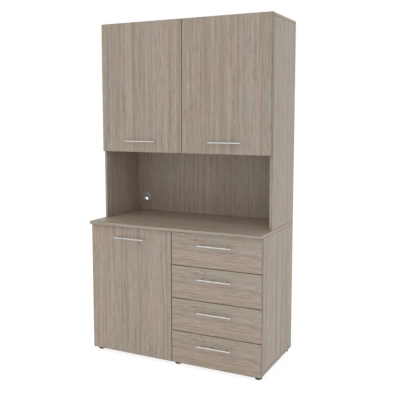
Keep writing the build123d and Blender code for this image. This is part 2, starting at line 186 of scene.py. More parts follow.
# %% [markdown]
# ## Floor and background
#
# The photograph has a pure white background. A white floor under brighter lamps would do it, but
# the boards would bleach as well. So the floor is pale, and only the camera and the reflections
# see part of it as plain white. What is left of the real floor keeps the soft shadow at the feet.

# %% Lay the floor
floor_reach = 30.0
white_share = 0.72
glow_strength = 1.2
floor_mesh = bpy.data.meshes.new("floor")
shape = bmesh.new()
bmesh.ops.create_grid(shape, x_segments=1, y_segments=1, size=floor_reach)
shape.to_mesh(floor_mesh)
shape.free()
floor = bpy.data.objects.new("floor", floor_mesh)
bpy.context.scene.collection.objects.link(floor)


def seen_directly(tree):
    """1 for rays from the camera and for reflections, 0 for the light that falls on things."""
    path = add(tree, "ShaderNodeLightPath").outputs
    mirrored = add(tree, "ShaderNodeMath", {0: path["Is Camera Ray"],
                   1: path["Is Glossy Ray"]}, operation="ADD")
    return add(tree, "ShaderNodeMath", {0: mirrored, 1: path["Is Transmission Ray"]},
               operation="ADD", use_clamp=True)


def studio_floor():
    """Pale matt floor, of which the camera sees a share as plain white."""
    material, tree = new_material("studio_floor")
    paper = add(tree, "ShaderNodeBsdfDiffuse", {"Color": colour("F4F4F4")})
    glow = add(tree, "ShaderNodeEmission", {"Color": colour("FFFFFF"), "Strength": glow_strength})
    share = add(tree, "ShaderNodeMath", {0: seen_directly(tree), 1: white_share},
                operation="MULTIPLY")
    mixed = add(tree, "ShaderNodeMixShader", {0: share, 1: paper, 2: glow})
    add(tree, "ShaderNodeOutputMaterial", {"Surface": mixed})
    return material


floor_mesh.materials.append(studio_floor())

# %% [markdown]
# ## Light
#
# The cupboard was pictured in very even light: its fronts are as bright at the floor as at the
# top, its side is a little brighter, and only the open niche falls into shade. An even dome of
# light gives that soft shade. A large lamp high in front lights the worktop and the fronts, one
# at the right lights the side, and a small one near the floor makes up for the light that the
# cupboard keeps from the floor in front of it.

# %% Light the studio
dome_strength = 0.71
world = bpy.data.worlds.new("studio")
bpy.context.scene.world = world
world.use_nodes = True
world_tree = world.node_tree
world_tree.nodes.clear()
dome = add(world_tree, "ShaderNodeBackground", {"Color": colour("F6FAFF"),
           "Strength": dome_strength})
backdrop = add(world_tree, "ShaderNodeBackground", {"Color": colour("FFFFFF"), "Strength": 1.0})
sky = add(world_tree, "ShaderNodeMixShader", {0: seen_directly(world_tree), 1: dome, 2: backdrop})
add(world_tree, "ShaderNodeOutputWorld", {"Surface": sky})


def softbox(name, place, target, width, height, power):
    """A flat lamp at one place that looks at another, both in metres."""
    lamp_data = bpy.data.lights.new(name, "AREA")
    lamp_data.shape = "RECTANGLE"
    lamp_data.size = width
    lamp_data.size_y = height
    lamp_data.energy = power
    lamp_data.color = colour("FFFBF4")[:3]
    lamp = bpy.data.objects.new(name, lamp_data)
    lamp.location = place
    lamp.rotation_euler = (Vector(target) - lamp.location).to_track_quat("-Z", "Y").to_euler()
    bpy.context.scene.collection.objects.link(lamp)
    print(name, power, "W from", place)


foot_of_fronts = (0.0, -0.27, 0.3)
softbox("high_softbox", (-2.0, -4.5, 7.5), cupboard_centre, width=6.0, height=6.0, power=124)
softbox("side_softbox", (8.5, -2.5, 2.0), cupboard_centre, width=6.0, height=4.0, power=93)
softbox("low_softbox", (-0.2, -2.4, 0.25), foot_of_fronts, width=2.4, height=0.5, power=4.4)
bpy.context.scene.view_settings.view_transform = "Standard"

# %% [markdown]
# ## The wood decor
#
# The boards are chipboard under a printed paper soaked in melamine resin and pressed at high
# heat: a picture of pale grey-brown oak, sealed hard, with a shallow grain pressed into it. The
# eye sees bands some six centimetres wide that change from pinkish brown to a greenish grey,
# over them fine light and dark streaks, some as long as the board and some as short as a hand,
# and a satin shine.
#
# A picture of wood could be wrapped round each board. Worked out from noise it is sharper, has no
# seams, and each board gets its own cut of it. Grain is noise drawn out along one axis, and a
# tree has it in several lengths at once, so several are weighed together. All boards share one
# group of nodes, which expects millimetres, with the grain along Z.

# %% Draw out the noise
def stretched(tree, vector, across, along, roughness):
    """Noise whose grains are so many millimetres across and along the wood."""
    squeezed = add(tree, "ShaderNodeVectorMath", {0: vector,
                   1: (1 / across, 1 / across, 1 / along)}, operation="MULTIPLY")
    return add(tree, "ShaderNodeTexNoise", {"Vector": squeezed, "Scale": 1.0, "Detail": 1.0,
               "Roughness": roughness})


def drifted(tree, place, across, along, reach):
    """Moves a point sideways by up to half of reach, so that the grain isn't ruler-straight."""
    noise = stretched(tree, place, across, along, 0.5)
    off = add(tree, "ShaderNodeVectorMath", {0: noise.outputs["Color"], 1: (0.5, 0.5, 0.5)},
              operation="SUBTRACT")
    return add(tree, "ShaderNodeVectorMath", {0: off, 1: (reach, reach, 0), 2: place},
               operation="MULTIPLY_ADD")


def weighed(tree, roughness, layers):
    """Noises summed. A layer is a place, a width and a length in millimetres, and a share."""
    total = 0.0
    for place, across, along, share in layers:
        noise = stretched(tree, place, across, along, roughness)
        total = add(tree, "ShaderNodeMath", {0: noise, 1: share, 2: total},
                    operation="MULTIPLY_ADD")
    return total


# %% Print the decor
brown_inks = [(0.41, "B4A599"), (0.50, "B4A497"), (0.59, "B4A493")]
grey_inks = [(0.46, "FFFDFB"), (0.58, "F7FFFD")]
streak_inks = [(0.385, "DAD6D1"), (0.5, "F0EEEC"), (0.605, "FFFFFF")]
pore_inks = [(0.33, "D2CBC4"), (0.42, "FFFFFF")]


def decor_print():
    """The printed wood, as a group: grain place in millimetres in, colour and relief out."""
    tree = bpy.data.node_groups.new("pale_oak_print", "ShaderNodeTree")
    tree.interface.new_socket("Vector", in_out="INPUT", socket_type="NodeSocketVector")
    tree.interface.new_socket("Color", in_out="OUTPUT", socket_type="NodeSocketColor")
    tree.interface.new_socket("Relief", in_out="OUTPUT", socket_type="NodeSocketFloat")
    place = add(tree, "NodeGroupInput")
    bent = drifted(tree, place, 190, 700, 34)
    curled = drifted(tree, bent, 30, 150, 7)
    bands = weighed(tree, 0.5, [(bent, 66, 1800, 0.5), (curled, 54, 170, 0.5)])
    elsewhere = add(tree, "ShaderNodeVectorMath", {0: bent, 1: (0, 400, 0)}, operation="ADD")
    greys = weighed(tree, 0.5, [(elsewhere, 76, 1500, 0.5), (elsewhere, 54, 170, 0.5)])
    streaks = weighed(tree, 0.6, [(bent, 48, 3000, 0.20), (bent, 13, 2600, 0.35),
                                  (curled, 10, 480, 0.25), (curled, 8, 120, 0.20)])
    pores = stretched(tree, curled, 1.8, 80, 0.6)
    printed = add(tree, "ShaderNodeValToRGB", {0: bands}, stops=brown_inks)
    # the inks are thin, so each pattern darkens what is printed below it
    for pattern, inks in ((greys, grey_inks), (streaks, streak_inks), (pores, pore_inks)):
        ink = add(tree, "ShaderNodeValToRGB", {0: pattern}, stops=inks)
        printed = add(tree, "ShaderNodeMix", {0: 1.0, 6: printed, 7: ink}, data_type="RGBA",
                      blend_type="MULTIPLY").outputs[2]
    relief = add(tree, "ShaderNodeMath", {0: pores, 1: 0.5, 2: streaks},
                 operation="MULTIPLY_ADD")
    add(tree, "NodeGroupOutput", {"Color": printed, "Relief": relief})
    return tree


pale_oak = decor_print()
print("decor nodes", len(pale_oak.nodes))

# %% [markdown]
# ## Glue line and painted joint shade
#
# An edge is closed by a glued-on strip of the same paper, milled flush. Its glue line and the
# shade in the shallow groove where two boards meet are painted as one fine darker line round every
# face, two millimetres from the edge. The line is found from the board's box alone: on any face,
# the distance to the nearest edge is the second smallest of a point's three distances to the box.

# %% Paint the glue line and joint shade
joint_from_edge = 1.8 * MM
joint_softness = 0.4 * MM


def painted_joint_shade(tree, point, low, high):
    """White all over a board, and darker where the edging meets the face: glue line and painted
    shade.
    """
    from_middle = add(tree, "ShaderNodeVectorMath", {0: point, 1: (low + high) / 2},
                      operation="SUBTRACT")
    apart = add(tree, "ShaderNodeVectorMath", {0: from_middle}, operation="ABSOLUTE")
    room = add(tree, "ShaderNodeVectorMath", {0: (high - low) / 2, 1: apart},
               operation="SUBTRACT")
    x, y, z = add(tree, "ShaderNodeSeparateXYZ", {0: room}).outputs
    least = add(tree, "ShaderNodeMath", {0: x, 1: y}, operation="MINIMUM")
    larger = add(tree, "ShaderNodeMath", {0: x, 1: y}, operation="MAXIMUM")
    second = add(tree, "ShaderNodeMath", {0: larger, 1: z}, operation="MINIMUM")
    to_edge = add(tree, "ShaderNodeMath", {0: least, 1: second}, operation="MAXIMUM")
    near = add(tree, "ShaderNodeMapRange", {"Value": to_edge, "From Min": joint_from_edge,
               "From Max": joint_from_edge + joint_softness})
    # the darker stop is the glue line plus painted shade of the groove between boards
    return add(tree, "ShaderNodeValToRGB", {0: near}, stops=[(0.0, "BDB2A7"), (1.0, "FFFFFF")])


# %% [markdown]
# ## Boards
#
# A board's grain runs upright on doors and sides, and level on the drawer fronts, shelves and
# worktop. On an edging strip it runs along the edge. So each board's material turns the print to
# its own grain, moves it to its own cut, and turns it once more on the end edges. The four drawer
# fronts share one cut, as in the photograph, from a livelier part of the print.

# %% Board materials
turn_to_grain = {"Z": (0, 0, 0), "X": (0, math.pi / 2, 0), "Y": (math.pi / 2, 0, 0)}
next_cut_across = 777.0
next_cut_along = 2333.0
swing_across, swing_along, lively_swing = 240, 560, 80
melamine_ior = 1.55


def in_print(tree, point, centre, grain, cut):
    """Where a point of a board lies on the print, in millimetres."""
    turn = Euler(turn_to_grain[grain])
    start = Vector((cut * next_cut_across, 0, cut * next_cut_along))
    start -= turn.to_matrix() @ centre / MM
    return add(tree, "ShaderNodeMapping", {"Vector": point, "Location": start,
               "Rotation": turn, "Scale": (1 / MM, 1 / MM, 1 / MM)})


def board_material(name, node, grain, cut, swing):
    """Melamine-faced board with the print along one axis, and edging along the end edges."""
    material, tree = new_material(name)
    low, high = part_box(node)
    extent = dict(zip("XYZ", high - low))
    edge_grain = max((axis for axis in "XYZ" if axis != grain), key=extent.get)
    coordinates = add(tree, "ShaderNodeTexCoord")
    point = coordinates.outputs["Object"]
    centre = within(low, high)
    face, edge = (in_print(tree, point, centre, axis, cut) for axis in (grain, edge_grain))
    facing = add(tree, "ShaderNodeSeparateXYZ", {0: coordinates.outputs["Normal"]})
    size_of_facing = add(tree, "ShaderNodeMath", {0: facing.outputs[grain]}, operation="ABSOLUTE")
    on_end = add(tree, "ShaderNodeMath", {0: size_of_facing, 1: 0.7}, operation="GREATER_THAN")
    where = add(tree, "ShaderNodeMix", {0: on_end, 4: face, 5: edge}, data_type="VECTOR")
    swung = drifted(tree, where.outputs[1], swing_across, swing_along, swing)
    wood = add(tree, "ShaderNodeGroup", {0: swung}, node_tree=pale_oak)
    # the wood is darkened along the edging by the glue line and painted joint shade
    joint_shade = painted_joint_shade(tree, point, low, high)
    color = add(tree, "ShaderNodeMix", {0: 1.0, 6: wood.outputs["Color"], 7: joint_shade},
                data_type="RGBA", blend_type="MULTIPLY").outputs[2]
    relief = add(tree, "ShaderNodeBump", {"Height": wood.outputs["Relief"], "Strength": 0.25,
                 "Distance": 0.15 * MM})
    gloss = add(tree, "ShaderNodeMapRange", {"Value": wood.outputs["Relief"],
                "From Min": 0.6, "From Max": 0.9, "To Min": 0.52, "To Max": 0.40})
    shader = add(tree, "ShaderNodeBsdfPrincipled", {"Base Color": color, "Roughness": gloss,
                 "Normal": relief, "IOR": melamine_ior})
    add(tree, "ShaderNodeOutputMaterial", {"Surface": shader})
    return material


def finish_node(node, material):
    """Gives a node of the construction one finish all over."""
    slots = frame["nodes"][node].data.materials
    slots.clear()
    slots.append(material)


slot_of = {row["node"]: row["material_slot"] for row in frame["record"]["subparts"]}
boards = sorted(node for node, slot in slot_of.items() if slot.startswith("board_grain"))
for cut, node in enumerate(boards):
    grain = "Z" if slot_of[node] == "board_grain_up" else "X"
    swing = 0
    if node.startswith("drawer"):
        cut = len(boards)
        swing = lively_swing
    finish_node(node, board_material(node + "_decor", node, grain, cut, swing))
print("boards", len(boards))

# %% [markdown]
# ## Metals
#
# The handles are aluminium tube, ground fine and anodised, so they look pale and satin. Slides
# and screws are steel under bright zinc, a little bluish, with faint crystal clouds. Hinges and
# shelf pins are steel under nickel, warmer and smoother. A metal's colour is its reflection, so
# only colour, roughness and grain differ. Real grinding lines are a tenth of a millimetre apart,
# too fine to show, so they are drawn half a millimetre apart.

# %% Metal finishes
def metal_material(name, code, rough, grain_mm, long_way, unevenness):
    """Metal with a fine uneven surface. long_way stretches the grain along X."""
    material, tree = new_material(name)
    point = add(tree, "ShaderNodeTexCoord").outputs["Object"]
    fine = 1 / (grain_mm * MM)
    scaled = add(tree, "ShaderNodeVectorMath", {0: point, 1: (fine / long_way, fine, fine)},
                 operation="MULTIPLY")
    grain = add(tree, "ShaderNodeTexNoise", {"Vector": scaled, "Scale": 1.0, "Detail": 2.0})
    spread = add(tree, "ShaderNodeMapRange", {"Value": grain, "From Min": 0.3, "From Max": 0.7,
                 "To Min": rough - unevenness, "To Max": rough + unevenness})
    relief = add(tree, "ShaderNodeBump", {"Height": grain, "Strength": 0.08,
                 "Distance": 0.05 * MM})
    shader = add(tree, "ShaderNodeBsdfPrincipled", {"Base Color": colour(code),
                 "Metallic": 1.0, "Roughness": spread, "Normal": relief})
    add(tree, "ShaderNodeOutputMaterial", {"Surface": shader})
    return material


satin_aluminium = metal_material("anodised_aluminium", "BFBFBD", 0.34, 0.5, 40, 0.06)
zinc_steel = metal_material("bright_zinc_plated_steel", "BFC2C6", 0.38, 6.0, 1, 0.08)
nickel_steel = metal_material("nickel_plated_steel", "C9C5BD", 0.28, 3.0, 1, 0.05)

# %% [markdown]
# ## Plastics, paint and beech
#
# The feet are black polypropylene and the cable outlet grey ABS, both moulded with a fine
# spark-eroded texture that scatters the light. The trays are steel under powder paint, which
# dries with a slight orange peel. The dowels are raw beech, whose fine grain shows as a faint
# clouding. All four share one recipe. The feet look blacker in the photograph than bare plastic
# would, so they get a lower IOR than its usual 1.5.

# %% Moulded, painted and wooden finishes
def clouded_material(name, code, rough, texture_mm, relief_mm, ior=1.5):
    """A finish whose surface is finely uneven and whose colour clouds very slightly."""
    material, tree = new_material(name)
    point = add(tree, "ShaderNodeTexCoord").outputs["Object"]
    skin = add(tree, "ShaderNodeTexNoise", {"Vector": point, "Scale": 1 / (texture_mm * MM),
               "Detail": 3.0})
    base = colour(code)
    deep = tuple(value * 0.9 for value in base[:3]) + (1.0,)
    cloud = add(tree, "ShaderNodeMix", {0: skin, 6: deep, 7: base}, data_type="RGBA")
    relief = add(tree, "ShaderNodeBump", {"Height": skin, "Strength": 0.4,
                 "Distance": relief_mm * MM})
    gloss = add(tree, "ShaderNodeMapRange", {"Value": skin, "From Min": 0.3, "From Max": 0.7,
                "To Min": rough - 0.06, "To Max": rough + 0.06})
    shader = add(tree, "ShaderNodeBsdfPrincipled", {"Base Color": cloud.outputs[2],
                 "Roughness": gloss, "Normal": relief, "IOR": ior})
    add(tree, "ShaderNodeOutputMaterial", {"Surface": shader})
    return material


finish_of_slot = {
    "satin_handles": satin_aluminium, "zinc_screws": zinc_steel, "zinc_slides": zinc_steel,
    "nickel_hinges": nickel_steel, "steel_pins": nickel_steel,
    "black_feet": clouded_material("moulded_black_polypropylene", "0B0B0C", 0.58, 0.8, 0.05, 1.22),
    "grey_outlet": clouded_material("moulded_grey_abs", "B2B2AF", 0.42, 0.8, 0.03),
    "painted_steel_trays": clouded_material("powder_painted_steel", "B4B7B8", 0.45, 1.6, 0.02),
    "beech_dowels": clouded_material("raw_beech", "C9A27A", 0.6, 2.0, 0.05)}
for node, slot in slot_of.items():
    if slot in finish_of_slot:
        finish_node(node, finish_of_slot[slot])

# %% [markdown]
# ## Tools for pieces
#
# Most small fittings are turned on a lathe, drawn as wire or cut from sheet, so three tools make
# nearly all of them. Each works in millimetres round its own origin, and the result is then set
# in its place. A corner is a point, and a radius where it is rounded.

# %% Outlines and turned shapes
def outline(corners, closed):
    """A line through (x, z) corners in the XZ plane. A third value rounds that corner."""
    shape = bmesh.new()
    points = [shape.verts.new((corner[0], 0, corner[1])) for corner in corners]
    following = points[1:] + points[:1] if closed else points[1:]
    for point, after in zip(points, following):
        shape.edges.new((point, after))
    for point, corner in zip(points, corners):
        if len(corner) == 3:
            bmesh.ops.bevel(shape, geom=[point], offset=corner[2], offset_type="OFFSET",
                            affect="VERTICES", segments=3, profile=0.5, material=-1)
    return shape


def close_ends(shape):
    ends = [edge for edge in shape.edges if edge.is_boundary]
    bmesh.ops.holes_fill(shape, edges=ends, sides=0)


def turned(corners, closed=False, steps=32, sweep=math.tau):
    """An outline turned round Z. A part turn is closed at both ends."""
    shape = outline(corners, closed)
    full = sweep == math.tau
    bmesh.ops.spin(shape, geom=shape.verts[:] + shape.edges[:], cent=(0, 0, 0), axis=(0, 0, 1),
                   angle=sweep, steps=steps, use_merge=full)
    bmesh.ops.remove_doubles(shape, verts=shape.verts, dist=0.001)
    if not full:
        close_ends(shape)
    bmesh.ops.recalc_face_normals(shape, faces=shape.faces)
    return shape


def drawn(corners, length):
    """A bar whose section is an outline in the XZ plane, drawn along Y."""
    shape = outline(corners, closed=True)
    bmesh.ops.contextual_create(shape, geom=shape.edges)
    made = bmesh.ops.extrude_face_region(shape, geom=shape.faces[:], use_keep_orig=True)["geom"]
    moved = [item for item in made if isinstance(item, bmesh.types.BMVert)]
    bmesh.ops.translate(shape, verts=moved, vec=(0, length, 0))
    bmesh.ops.recalc_face_normals(shape, faces=shape.faces)
    return shape


# %% [markdown]
# A sheet with holes is easiest as a flat curve, because Blender fills the space between its
# outlines and rounds its edges. It is turned into a mesh at once.

# %% Sheets with holes
def arc(x, y, radius, start, stop, steps):
    """Points round a middle point, from one angle to another."""
    angles = [start + (stop - start) * step / steps for step in range(steps + 1)]
    return [(x + radius * math.cos(angle), y + radius * math.sin(angle)) for angle in angles]


def circle(x, y, radius, steps):
    return arc(x, y, radius, 0, math.tau, steps)[:-1]


def rounded_box(x, y, width, height, radius):
    """The outline of a rectangle with rounded corners, round a middle point."""
    points = []
    for quarter, (right, up) in enumerate(((1, 1), (-1, 1), (-1, -1), (1, -1))):
        start = quarter * math.pi / 2
        points += arc(x + right * (width / 2 - radius), y + up * (height / 2 - radius), radius,
                      start, start + math.pi / 2, steps=8)
    return points


def sheet(outlines, thickness, easing):
    """A sheet from Z 0 to its thickness. The first outline is its edge, the others are holes."""
    curve = bpy.data.curves.new("sheet", "CURVE")
    curve.dimensions = "2D"
    curve.fill_mode = "BOTH"
    curve.extrude = thickness / 2 - easing
    curve.bevel_depth = easing
    curve.bevel_resolution = 1
    curve.offset = -easing
    for points in outlines:
        spline = curve.splines.new("POLY")
        spline.points.add(len(points) - 1)
        for point, (x, y) in zip(spline.points, points):
            point.co = (x, y, 0, 1)
        spline.use_cyclic_u = True
    holder = bpy.data.objects.new("sheet", curve)
    flat = bpy.data.meshes.new_from_object(holder)
    shape = bmesh.new()
    shape.from_mesh(flat)
    bpy.data.objects.remove(holder)
    bpy.data.curves.remove(curve)
    bpy.data.meshes.remove(flat)
    bmesh.ops.remove_doubles(shape, verts=shape.verts, dist=0.01)
    bmesh.ops.translate(shape, verts=shape.verts, vec=(0, 0, thickness / 2))
    bmesh.ops.recalc_face_normals(shape, faces=shape.faces)
    return shape


# %% [markdown]
# A shape is put in its place with a matrix that also turns millimetres into metres. A piece then
# rides on the moving body of the construction's node that it stands for.

# %% Places and pieces
z_to_y = Matrix.Rotation(-math.pi / 2, 4, "X")
z_to_minus_y = Matrix.Rotation(math.pi / 2, 4, "X")
z_to_x = Matrix.Rotation(math.pi / 2, 4, "Y")
sharp_from = math.radians(38)


def at(place, direction=(0, 0, 1)):
    """Sets a shape's origin at a place, in metres, with its Z along a direction."""
    turn = Vector(direction).to_track_quat("Z", "Y").to_matrix().to_4x4()
    return Matrix.Translation(place) @ turn @ Matrix.Scale(MM, 4)


def placed(shape, matrix):
    bmesh.ops.transform(shape, matrix=matrix, verts=shape.verts)
    return shape


def gathered(parts):
    """One shape made of several, which are used up."""
    whole = bmesh.new()
    for part in parts:
        carrier = bpy.data.meshes.new("carrier")
        part.to_mesh(carrier)
        part.free()
        whole.from_mesh(carrier)
        bpy.data.meshes.remove(carrier)
    return whole


def piece(name, parts, node):
    """Makes a piece of the cupboard from its parts. It stands for one node."""
    shape = gathered(parts)
    bmesh.ops.recalc_face_normals(shape, faces=shape.faces)
    mesh = bpy.data.meshes.new(name)
    shape.to_mesh(mesh)
    shape.free()
    mesh.shade_smooth()
    mesh.set_sharp_from_angle(angle=sharp_from)
    mesh.materials.append(finish_of_slot[slot_of[node]])
    made = bpy.data.objects.new(name, mesh)
    bpy.context.scene.collection.objects.link(made)
    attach(made, body_of(frame["nodes"][node])[0])
    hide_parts(node)
    print(name, len(mesh.polygons), "faces")


def named(ending):
    """The nodes whose names end with some words, in order."""
    return sorted(node for node in slot_of if node.endswith(ending))


def solids(node):
    """The box of every separate solid of a node, from a merged copy of its mesh."""
    shape = bmesh.new()
    shape.from_mesh(frame["nodes"][node].data)
    bmesh.ops.remove_doubles(shape, verts=shape.verts, dist=0.001 * MM)
    waiting = set(shape.verts)
    boxes = []
    while waiting:
        reached = [waiting.pop()]
        for vert in reached:
            near = {edge.other_vert(vert) for edge in vert.link_edges} & waiting
            waiting -= near
            reached.extend(near)
        spans = [[vert.co[axis] for vert in reached] for axis in range(3)]
        boxes.append((Vector(map(min, spans)), Vector(map(max, spans))))
    shape.free()
    return sorted(boxes, key=lambda box: tuple(box[0]))


# %% [markdown]
# ## Handles
#
# A bar handle is a length of round aluminium tube with a pressed-in cap at each end, on two solid
# posts that are screwed on from inside. The cap leaves a fine ring just short of the end, and a
# post widens into a small foot where it meets the front.

# %% Build the handles
handle_post_radius, handle_overhang = 4.0, 32.0
cap_length, cap_ring = 6.0, 0.3


def handle_bar(length, radius):
    """The tube with its two caps, along Z from its middle."""
    half = length / 2
    ring = half - cap_length
    right = [(0, half), (radius, half, 1.2), (radius, ring + cap_ring),
             (radius - cap_ring, ring), (radius, ring - cap_ring)]
    left = [(corner[0], -corner[1], *corner[2:]) for corner in reversed(right)]
    return turned(right + left, steps=40)


def handle_post(length, bar_radius):
    """A post from the bar's axis at Z 0 to its foot on the front."""
    foot = bar_radius - 0.1
    return turned([(0, 0), (handle_post_radius, 0), (handle_post_radius, length - 2.6, 1.2),
                   (foot, length - 1.4, 0.6), (foot, length), (0, length)])


def handle(node):
    low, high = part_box(node)
    length, depth, height = (high - low) / MM
    radius = height / 2
    centre = within(low, high, y=0) + Vector((0, radius * MM, 0))
    parts = [placed(handle_bar(length, radius), at(centre, (1, 0, 0)))]
    for side in (-1, 1):
        foot = centre + Vector((side * (length / 2 - handle_overhang) * MM, 0, 0))
        parts.append(placed(handle_post(depth - radius, radius), at(foot, (0, 1, 0))))
    piece(node + "_bar", parts, node)


for node in named("_handle"):
    handle(node)

# %% [markdown]
# ## Feet
#
# The feet are moulded in one shot: a round pad with a fluted grip, a cone above it and a peg that
# is knocked into the bottom panel. The pad stands on a narrow ring, so its middle is hollow.

# %% Build the feet
grip_flutes, grip_depth = 24, 0.9
pad_height, under_panel = 9.0, 24.0
ring_inner, ring_outer, hollow_depth = 13.0, 18.0, 1.6
cone_end, peg_radius = 15.0, 5.0


def fluted(shape, count, depth, low, high):
    """Draws the points between two heights in towards Z, in shallow flutes."""
    for vert in shape.verts:
        if low <= vert.co.z <= high:
            angle = math.atan2(vert.co.y, vert.co.x)
            reach = math.hypot(vert.co.x, vert.co.y)
            share = 1 - depth / reach * (1 - math.cos(count * angle)) / 2
            vert.co.x *= share
            vert.co.y *= share
    return shape


def foot_shape(radius, height):
    """One foot, from the floor at Z 0 to the end of its peg."""
    foot = turned([(0, hollow_depth), (ring_inner - 2, hollow_depth, 0.8), (ring_inner, 0, 0.5),
                   (ring_outer, 0, 0.6), (radius, 2.2, 1.0), (radius, pad_height - 2.4, 1.0),
                   (ring_outer + 0.8, pad_height, 0.6), (ring_outer, pad_height + 0.6, 0.4),
                   (cone_end + 0.6, under_panel - 2), (cone_end, under_panel - 1.4, 0.4),
                   (cone_end, under_panel), (peg_radius, under_panel),
                   (peg_radius, height - 1.5), (peg_radius - 1, height), (0, height)], steps=96)
    return fluted(foot, grip_flutes, grip_depth, 2.0, pad_height - 2.0)


feet = []
for low, high in solids("feet"):
    foot = foot_shape((high.x - low.x) / 2 / MM, (high.z - low.z) / MM)
    feet.append(placed(foot, at(within(low, high, z=0))))
piece("moulded_feet", feet, "feet")

# %% [markdown]
# ## Cable outlet
#
# The outlet is a moulded sleeve in the back of the niche. Its cap snaps into it and turns, so
# that the slot can point the way the cable goes. The cap has a raised rim, three small ridges to
# turn it by, and a skirt with a snap bead behind it.

# %% Build the outlet's sleeve
def outlet_sleeve(node):
    low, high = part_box(node)
    radius = (high.x - low.x) / 2 / MM
    depth = (high.y - low.y) / MM
    bore, tube, flange, waist = 27.0, 30.0, 2.0, 29.4
    corners = [(bore, 0, 0.5), (radius, 0, 0.8), (radius, flange, 0.2), (tube, flange),
               (tube, 5, 0.2), (waist, 5.5, 0.2), (waist, 8, 0.2), (tube, 8.5, 0.2),
               (tube, depth, 0.3), (bore, depth, 0.3)]
    sleeve = turned(corners, closed=True, steps=64)
    return placed(sleeve, at(within(low, high, y=0), (0, 1, 0)))


piece("moulded_outlet_sleeve", [outlet_sleeve("cable_outlet_sleeve")], "cable_outlet_sleeve")


# %% Build the outlet's cap
def outlet_cap(node):
    """The cap with its face at Z 0, towards the room, and its skirt along Z."""
    low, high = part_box(node)
    radius = (high.x - low.x) / 2 / MM
    depth = (high.y - low.y) / MM
    face, plate, skirt, wall = 0.5, 2.5, 26.7, 1.5
    slot_drop, slot_width, slot_height = 16.0, 26.0, 20.0
    ridge_gap, ridge_rise, ridge_half, ridge_radius = 3.2, 19.0, 5.0, 0.9
    slot = rounded_box(0, slot_drop, slot_width, slot_height, slot_height / 2 - 0.01)
    disc = sheet([circle(0, 0, radius, 72), slot], plate - face, 0.5)
    rim = turned([(radius - 3.4, face + 0.3), (radius - 2.9, 0, 0.25), (radius - 1.1, 0, 0.25),
                  (radius - 0.5, face + 0.3)], closed=True, steps=72)
    ring = turned([(skirt - wall, plate - 0.2), (skirt, plate - 0.2), (skirt, depth - 2.5, 0.2),
                   (skirt + 0.25, depth - 1.8, 0.2), (skirt, depth, 0.4),
                   (skirt - wall, depth, 0.3)], closed=True, steps=72)
    parts = [placed(disc, Matrix.Translation((0, 0, face))), rim, ring]
    for across in (-ridge_gap, 0, ridge_gap):
        bar = turned([(0, -ridge_half), (ridge_radius, -ridge_half, 0.5),
                      (ridge_radius, ridge_half, 0.5), (0, ridge_half)], steps=16)
        seat = Matrix.Translation((across, -ridge_rise, face + ridge_radius / 2))
        parts.append(placed(bar, seat @ z_to_minus_y))
    upright = Matrix.Translation(within(low, high, y=0)) @ z_to_y @ Matrix.Scale(MM, 4)
    return [placed(part, upright) for part in parts]


piece("moulded_outlet_cap", outlet_cap("cable_outlet_cap"), "cable_outlet_cap")

# %% [markdown]
# ## Screws
#
# These screws are steel with a flattened dome, a cross recess and a thread, a small ridge that
# climbs as it turns. The recess is pushed into the head along four arms, which are every fourth
# face round the axis. The M4 handle screws come through the front from inside, and the
# wood screws of the hinge plates, which come later, go outwards into the sides.

# %% Build the screws
def screw_head(radius, height):
    """A domed head on Z 0 with a cross pressed into it."""
    head = turned([(0, height), (radius * 0.2, height), (radius * 0.58, height * 0.94),
                   (radius * 0.86, height * 0.66), (radius, height * 0.2), (radius * 0.97, 0),
                   (0, 0)], steps=16)
    arms = []
    for face in head.faces:
        centre = face.calc_center_median()
        sector = int(math.atan2(centre.y, centre.x) % math.tau / math.tau * 16)
        reach = math.hypot(centre.x, centre.y)
        inside = reach < radius * 0.5 and centre.z > height / 2
        if inside and (sector % 4 == 0 or reach < radius * 0.2):
            arms.append(face)
    bmesh.ops.inset_region(head, faces=arms, thickness=radius * 0.03, depth=-height * 0.45,
                           use_boundary=True, use_even_offset=True)
    return head


def thread(radius, pitch, length):
    """A core and the ridge that climbs round it, down from Z 0."""
    core = radius * 0.82
    shank = turned([(0, 0), (core, 0), (core, pitch - length), (core * 0.6, -length),
                    (0, -length)], steps=16)
    turns = int((length - 2 * pitch) / pitch)
    steps = 12
    ridge = outline([(core * 0.95, -pitch / 2), (radius, 0), (core * 0.95, pitch / 2)], closed=True)
    bmesh.ops.translate(ridge, verts=ridge.verts, vec=(0, 0, pitch / 2 + pitch - length))
    bmesh.ops.spin(ridge, geom=ridge.verts[:] + ridge.edges[:], cent=(0, 0, 0), axis=(0, 0, 1),
                   dvec=(0, 0, pitch / steps), angle=math.tau * turns, steps=steps * turns)
    close_ends(ridge)
    return [shank, ridge]


def screws(name, node, axis, radius, head_height, pitch):
    """A screw for each solid. Along Y its head is at the back, along X on the inner side."""
    parts = []
    for low, high in solids(node):
        centre = within(low, high)
        if axis == "Y":
            up = Vector((0, 1, 0))
            width, length = (high - low).xy / MM
        else:
            up = Vector((-math.copysign(1, centre.x), 0, 0))
            width, length = (high - low).yx / MM
        seat = at(centre + up * (length / 2 - head_height) * MM, up)
        head = screw_head(width / 2, head_height)
        for part in (head, *thread(radius, pitch, length - head_height)):
            parts.append(placed(part, seat))
    piece(name, parts, node)


for node in named("_handle_screws"):
    screws(node + "_threaded", node, "Y", radius=2.0, head_height=2.5, pitch=0.7)

# %% [markdown]
# ## Hinges
#
# Each door hangs on two concealed cup hinges. A steel cup is pressed into the door, and an arm
# from its pin reaches back over a cross-shaped plate on the side board. All of a hinge is built
# in one place of its own: X runs in from the door's edge, Y into the door from its back, and Z
# up from the hinge's middle. Where a door is hung decides only how that place lies.
#
# The cup is open towards the door's edge, because the arm swings out through it.

# %% Find the hinges
hinge_from_door_end = 100.0
hung_on = {"base_door": -1, "hutch_left_door": -1, "hutch_right_door": 1}


